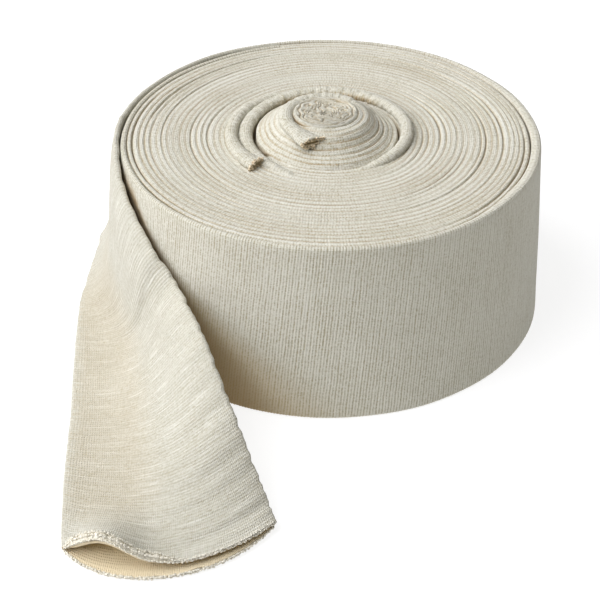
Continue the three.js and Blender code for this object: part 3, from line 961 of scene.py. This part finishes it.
def end_fray(name, end, count, reach, seed):
    """Frayed yarn round the cut end of a proud fold."""
    rng = np.random.default_rng(seed)
    rim, inner = end["rim"][:-1], end["inner"][:-1]
    place = rng.random(count) * len(rim)
    i = place.astype(int)
    w = (place - i)[:, None]
    j = (i + 1) % len(rim)
    share = rng.random((count, 1))
    outer_edge_at = rim[i] * (1 - w) + rim[j] * w
    inner_edge_at = inner[i] * (1 - w) + inner[j] * w
    edge = outer_edge_at * share + inner_edge_at * (1 - share)
    up = unit(outer_edge_at - inner_edge_at)
    out = unit(end["along"] + 0.7 * (rng.random((count, 3)) - 0.5) + 0.4 * up)
    t = np.linspace(0, 1, 9)[None, :, None]
    long = reach * (0.35 + 0.75 * rng.random((count, 1, 1)))
    swing = unit(rng.random((count, 3)) - 0.5)[:, None]
    paths = edge[:, None] - 0.3 * end["along"] + out[:, None] * long * np.sin(t * math.pi * 0.85)
    paths += up[:, None] * long * 0.35 * t ** 2 + swing * 0.6 * np.sin(t * math.pi)
    return thread_mesh(name, paths, sizes_mm()["thread"] * 0.9)


# Materials

class Nodes:
    """A short way to lay out a material's nodes."""

    def __init__(self, material):
        self.tree = material.node_tree
        self.count = 0

    def add(self, kind, **values):
        node = self.tree.nodes.new(kind)
        self.count += 1
        node.location = (-220 * (self.count % 8), -260 * (self.count // 8))
        for key, value in values.items():
            setattr(node, key, value)
        return node

    def link(self, source, target):
        self.tree.links.new(source, target)

    def math(self, operation, *values, clamp=False):
        node = self.add("ShaderNodeMath", operation=operation, use_clamp=clamp)
        for socket, value in zip(node.inputs, values):
            if isinstance(value, (int, float)):
                socket.default_value = value
            else:
                self.link(value, socket)
        return node.outputs[0]

    def noise(self, vector, scale, detail=2.0):
        node = self.add("ShaderNodeTexNoise")
        node.inputs["Scale"].default_value = scale
        node.inputs["Detail"].default_value = detail
        self.link(vector, node.inputs["Vector"])
        return node.outputs["Fac"]

    def vector(self, x, y):
        node = self.add("ShaderNodeCombineXYZ")
        self.link(x, node.inputs["X"])
        self.link(y, node.inputs["Y"])
        return node.outputs[0]

    def mix(self, factor, first, second):
        node = self.add("ShaderNodeMix", data_type="RGBA")
        self.link(factor, node.inputs["Factor"])
        for socket, colour in ((node.inputs[6], first), (node.inputs[7], second)):
            if hasattr(colour, "is_linked"):
                self.link(colour, socket)
            else:
                socket.default_value = (*colour, 1)
        return node.outputs[2]


def wave_of(nodes, distance, pitch):
    """0 to 1 and back once every pitch."""
    turns = nodes.math("MULTIPLY", distance, 2 * math.pi / pitch)
    return nodes.math("MULTIPLY_ADD", nodes.math("COSINE", turns), 0.5, 0.5)


def knit_material(name, rib_tone, slub_share, contrast, value):
    """Ribbed elastic cotton knit: ribs across the tube, columns of stitches along it."""
    sizes = bpy.context.scene.bandage_sizes
    colours = bpy.context.scene.bandage_colours
    material = bpy.data.materials.new(name)
    material.use_nodes = True
    nodes = Nodes(material)
    shader = material.node_tree.nodes["Principled BSDF"]
    uv = nodes.add("ShaderNodeUVMap")
    place = nodes.add("ShaderNodeTexCoord").outputs["Object"]
    split = nodes.add("ShaderNodeSeparateXYZ")
    nodes.link(uv.outputs[0], split.inputs[0])
    along, over = split.outputs[0], split.outputs[1]
    drift = nodes.math("MULTIPLY_ADD", nodes.noise(place, 140.0), 0.0007, along)
    sway = nodes.math("MULTIPLY_ADD", nodes.noise(place, 210.0), 0.0006, over)
    rib = wave_of(nodes, drift, sizes.rib_pitch)
    strong = wave_of(nodes, nodes.math("SUBTRACT", drift, sizes.rib_pitch / 2), sizes.rib_pitch * 2)
    wale = wave_of(nodes, sway, sizes.wale_pitch)
    grain = nodes.noise(place, 950.0, 1.0)
    rib_streak = nodes.noise(nodes.vector(nodes.math("MULTIPLY", along, 820.0),
                                          nodes.math("MULTIPLY", over, 40.0)), 1.0, 3.0)
    wale_streak = nodes.noise(nodes.vector(nodes.math("MULTIPLY", along, 60.0),
                                           nodes.math("MULTIPLY", over, 1300.0)), 1.0, 2.0)
    slub = nodes.noise(nodes.vector(nodes.math("MULTIPLY", along, 1250.0),
                                    nodes.math("MULTIPLY_ADD", over, 55.0, 9.0)), 1.0, 2.0)
    fuzz = nodes.noise(place, 1500.0, 3.0)
    blotch = nodes.noise(place, 46.0, 2.0)
    between_ribs = nodes.math("SUBTRACT", 1.0, rib)
    hole = nodes.math("MULTIPLY", between_ribs, nodes.math("SUBTRACT", 1.0, wale))
    tone = nodes.math("MULTIPLY", nodes.math("MULTIPLY", hole, grain), 1.2)
    tone = nodes.math("MULTIPLY_ADD", nodes.math("MULTIPLY", between_ribs, strong), rib_tone, tone)
    tone = nodes.math("MULTIPLY_ADD", between_ribs, 1.2 * rib_tone, tone)
    tone = nodes.math("MULTIPLY_ADD", rib_streak, 0.6, tone)
    tone = nodes.math("MULTIPLY_ADD", wale_streak, 0.35, tone)
    tone = nodes.math("MULTIPLY_ADD", fuzz, 1.3, tone)
    tone = nodes.math("MULTIPLY_ADD", blotch, 0.5, tone)
    tone = nodes.math("MULTIPLY_ADD", grain, 1.3, tone)
    tone = nodes.math("SUBTRACT", tone, 2.2 + 0.85 * rib_tone)
    tone = nodes.math("MULTIPLY_ADD", tone, contrast, 0.28, clamp=True)
    # value scales this copy's yarn colours, painting its overall light level
    light = tuple(value * part for part in colours.light)
    cloth = nodes.mix(tone, light, tuple(value * part for part in colours.shade))
    pale = nodes.math("MULTIPLY", nodes.math("SUBTRACT", slub, 0.55), 6.0, clamp=True)
    cloth = nodes.mix(nodes.math("MULTIPLY", pale, slub_share), cloth, tuple(colours.slub))
    dot = nodes.math("MULTIPLY", hole, nodes.noise(place, 420.0, 1.0))
    dot = nodes.math("MULTIPLY", nodes.math("SUBTRACT", dot, 0.40), 0.8, clamp=True)
    cloth = nodes.mix(dot, cloth, tuple(colours.groove))
    # The depth attribute paints light and shade into the colour: below 0 a painted highlight on
    # crests, up to 1 painted shade in grooves and hollows, above 1 painted light shining through the
    # cloth onto its inner face
    depth = nodes.add("ShaderNodeAttribute", attribute_name="depth").outputs["Fac"]
    crest = nodes.math("MULTIPLY", depth, -0.7, clamp=True)
    cloth = nodes.mix(crest, cloth, tuple(colours.slub))
    # Painted shade: the groove colour, then the deep colour where depth is highest
    deep = nodes.math("MULTIPLY", nodes.math("MINIMUM", depth, 1.0), 0.85, clamp=True)
    painted_through_light = nodes.math("SUBTRACT", depth, 1.0, clamp=True)
    deep = nodes.math("SUBTRACT", deep, nodes.math("MULTIPLY", painted_through_light, 0.85), clamp=True)
    cloth = nodes.mix(deep, cloth, tuple(colours.groove))
    painted_darkest_shade = nodes.math("MULTIPLY", nodes.math("SUBTRACT", deep, 0.42), 1.7, clamp=True)
    cloth = nodes.mix(painted_darkest_shade, cloth, tuple(colours.deep))
    cloth = nodes.mix(nodes.math("MULTIPLY", painted_through_light, 0.88), cloth, tuple(colours.inside))
    nodes.link(cloth, shader.inputs["Base Color"])
    height = nodes.math("MULTIPLY", wale, 0.45)
    height = nodes.math("MULTIPLY_ADD", rib, 0.5, height)
    height = nodes.math("MULTIPLY_ADD", fuzz, 1.3, height)
    bump = nodes.add("ShaderNodeBump")
    bump.inputs["Strength"].default_value = 0.7
    bump.inputs["Distance"].default_value = 0.00028
    nodes.link(height, bump.inputs["Height"])
    nodes.link(bump.outputs[0], shader.inputs["Normal"])
    shader.inputs["Roughness"].default_value = 0.93
    shader.inputs["Specular IOR Level"].default_value = 0.15
    shader.inputs["Sheen Weight"].default_value = 0.12
    shader.inputs["Sheen Roughness"].default_value = 0.6
    return material


def thread_material(name, light, dark):
    """Loose cotton yarn, in two close tones."""
    material = bpy.data.materials.new(name)
    material.use_nodes = True
    nodes = Nodes(material)
    shader = material.node_tree.nodes["Principled BSDF"]
    place = nodes.add("ShaderNodeTexCoord").outputs["Object"]
    cloth = nodes.mix(nodes.noise(place, 700.0, 3.0), light, dark)
    nodes.link(cloth, shader.inputs["Base Color"])
    bump = nodes.add("ShaderNodeBump")
    bump.inputs["Strength"].default_value = 0.5
    bump.inputs["Distance"].default_value = 0.0001
    nodes.link(nodes.noise(place, 5200.0), bump.inputs["Height"])
    nodes.link(bump.outputs[0], shader.inputs["Normal"])
    shader.inputs["Roughness"].default_value = 0.95
    shader.inputs["Specular IOR Level"].default_value = 0.1
    return material


def material_named(name, make):
    """The material of that name, made if it isn't there yet."""
    return bpy.data.materials.get(name) or make(name)


# One knit in three copies: the loose end's 0.90 is painted shade and the folds' 1.02 painted light
def wound_knit():
    return material_named("wound_cloth", lambda name: knit_material(name, 0.35, 0.3, 1.0, 1.0))


def folded_knit():
    return material_named("folded_cloth", lambda name: knit_material(name, 0.0, 0.1, 1.3, 1.02))


def loose_knit():
    return material_named("loose_cloth", lambda name: knit_material(name, 0.12, 0.5, 0.6, 0.90))


# Operators

class BANDAGE_OT_last_turn(Operator):
    """Builds the outermost turn, which is the roll's wall"""

    bl_idname = "bandage.last_turn"
    bl_label = "Last turn"

    def execute(self, context):
        finish_piece(last_turn(), ROLL_NODE, wound_knit())
        return {"FINISHED"}


class BANDAGE_OT_face_turns(Operator):
    """Builds the folds that show on the roll's face, core and base"""

    bl_idname = "bandage.face_turns"
    bl_label = "Turns"

    def execute(self, context):
        for make in (outer_turns, core_turns, core_disc, base_turns):
            finish_piece(make(), ROLL_NODE, folded_knit())
        return {"FINISHED"}


class BANDAGE_OT_inner_ends(Operator):
    """Builds the two inner cut ends that stand proud of the face, with their fray"""

    bl_idname = "bandage.inner_ends"
    bl_label = "Inner ends"

    def execute(self, context):
        yarn = material_named("frayed_yarn", lambda name: thread_material(
            name, (0.90, 0.81, 0.63), (0.76, 0.61, 0.41)))
        # Piece, crest, ground, half height, depth of the hollow end, threads, their reach, seed
        folds = (
            ("ring_fold", RING_CREST, ring_level, 2.1, 0, 0, 0, 70),
            ("ring_end", OUTER_CREST, ring_level, 2.0, 1.0, 170, 0.9, 71),
            ("core_end", TAIL_CREST, tail_level, 2.0, 3.0, 90, 0.8, 72),
        )
        for name, table, level, thick, deep, count, reach, seed in folds:
            fold, end = proud_fold(name, table, level, thick, deep)
            finish_piece(fold, ROLL_NODE, folded_knit())
            if end is None:
                continue
            fray = end_fray(name + "_fray", end, count, reach, seed)
            finish_piece(fray, None, yarn)
        return {"FINISHED"}


class BANDAGE_OT_loose_end(Operator):
    """Builds the loose end of the tube, open at its cut mouth"""

    bl_idname = "bandage.loose_end"
    bl_label = "Loose end"

    def execute(self, context):
        sheet, length = loose_end()
        finish_piece(sheet, LOOSE_NODE, loose_knit())
        yarn = material_named("mouth_yarn", lambda name: thread_material(
            name, (0.84, 0.81, 0.71), (0.74, 0.69, 0.57)))
        roll = finish_piece(lip_roll(), None, yarn)
        fringe = finish_piece(mouth_fringe(), None, yarn)
        return {"FINISHED"}


# Camera and lights
CAMERA_PLACE = (-11.99, -538.01, 378.28)
CAMERA_TILT = 54.374        # degrees up from looking straight down
CAMERA_LENS = 91.94
SUN_TILT = 47.0             # degrees off the vertical
SUN_FROM = 190.0            # degrees round from +X that the light comes from
SUN_SOFTNESS = 64.0         # degrees across
TOP_SOFTNESS = 50.0
FLOOR_GREY = 0.30


class BANDAGE_OT_stage(Operator):
    """Sets the camera, the lights and the floor"""

    bl_idname = "bandage.stage"
    bl_label = "Stage"

    def execute(self, context):
        look = context.scene.bandage_stage
        deselect_all()
        bpy.ops.object.camera_add(
            location=[value * MM for value in CAMERA_PLACE],
            rotation=(math.radians(CAMERA_TILT), 0, 0))
        camera = context.object
        camera.data.lens = CAMERA_LENS
        camera.data.sensor_width = 36
        camera.data.clip_start = 0.01
        context.scene.camera = camera
        bpy.ops.object.light_add(type="SUN", rotation=(
            0, math.radians(SUN_TILT), math.radians(SUN_FROM)))
        sun = context.object.data
        sun.energy = look.sun
        sun.angle = math.radians(SUN_SOFTNESS)
        sun.color = (0.98, 0.985, 1.035)
        bpy.ops.object.light_add(type="SUN", rotation=(0, 0, 0))
        overhead = context.object.data
        overhead.energy = look.top
        overhead.angle = math.radians(TOP_SOFTNESS)
        world = bpy.data.worlds.new("soft_room")
        world.use_nodes = True
        background = world.node_tree.nodes["Background"]
        background.inputs["Color"].default_value = (1.0, 0.96, 0.90, 1)
        background.inputs["Strength"].default_value = look.sky
        context.scene.world = world
        context.scene.view_settings.view_transform = "Standard"
        bpy.ops.mesh.primitive_plane_add(size=2 * look.floor_half, location=(0, 0, -0.0002))
        floor = context.object
        floor.name = "floor"
        material = bpy.data.materials.new("pale_table")
        material.use_nodes = True
        shader = material.node_tree.nodes["Principled BSDF"]
        shader.inputs["Base Color"].default_value = (FLOOR_GREY, FLOOR_GREY, FLOOR_GREY, 1)
        shader.inputs["Roughness"].default_value = 0.9
        shader.inputs["Emission Color"].default_value = (1, 1, 1, 1)
        shader.inputs["Emission Strength"].default_value = look.floor_glow
        floor.data.materials.append(material)
        return {"FINISHED"}


class BANDAGE_PT_panel(Panel):
    """The bandage roll's pieces and sizes"""

    bl_label = "Bandage roll"
    bl_idname = "BANDAGE_PT_panel"
    bl_space_type = "VIEW_3D"
    bl_region_type = "UI"
    bl_category = "Bandage"

    def draw(self, context):
        for operator in OPERATORS:
            self.layout.operator(operator.bl_idname)
        groups = (
            (context.scene.bandage_sizes, BandageSizes),
            (context.scene.bandage_colours, BandageColours),
            (context.scene.bandage_stage, BandageStage),
        )
        for group, kind in groups:
            for name in kind.__annotations__:
                self.layout.prop(group, name)


OPERATORS = (
    BANDAGE_OT_stage,
    BANDAGE_OT_last_turn,
    BANDAGE_OT_face_turns,
    BANDAGE_OT_inner_ends,
    BANDAGE_OT_loose_end,
)
CLASSES = (BandageSizes, BandageColours, BandageStage, *OPERATORS, BANDAGE_PT_panel)


def register():
    for kind in CLASSES:
        bpy.utils.register_class(kind)
    bpy.types.Scene.bandage_sizes = PointerProperty(type=BandageSizes)
    bpy.types.Scene.bandage_colours = PointerProperty(type=BandageColours)
    bpy.types.Scene.bandage_stage = PointerProperty(type=BandageStage)


def unregister():
    del bpy.types.Scene.bandage_stage
    del bpy.types.Scene.bandage_colours
    del bpy.types.Scene.bandage_sizes
    for kind in reversed(CLASSES):
        bpy.utils.unregister_class(kind)


def main():
    register()
    bpy.ops.bandage.stage()
    bpy.ops.bandage.last_turn()
    bpy.ops.bandage.face_turns()
    bpy.ops.bandage.inner_ends()
    bpy.ops.bandage.loose_end()
    bpy.context.view_layer.update()


if __name__ == "__main__":
    main()
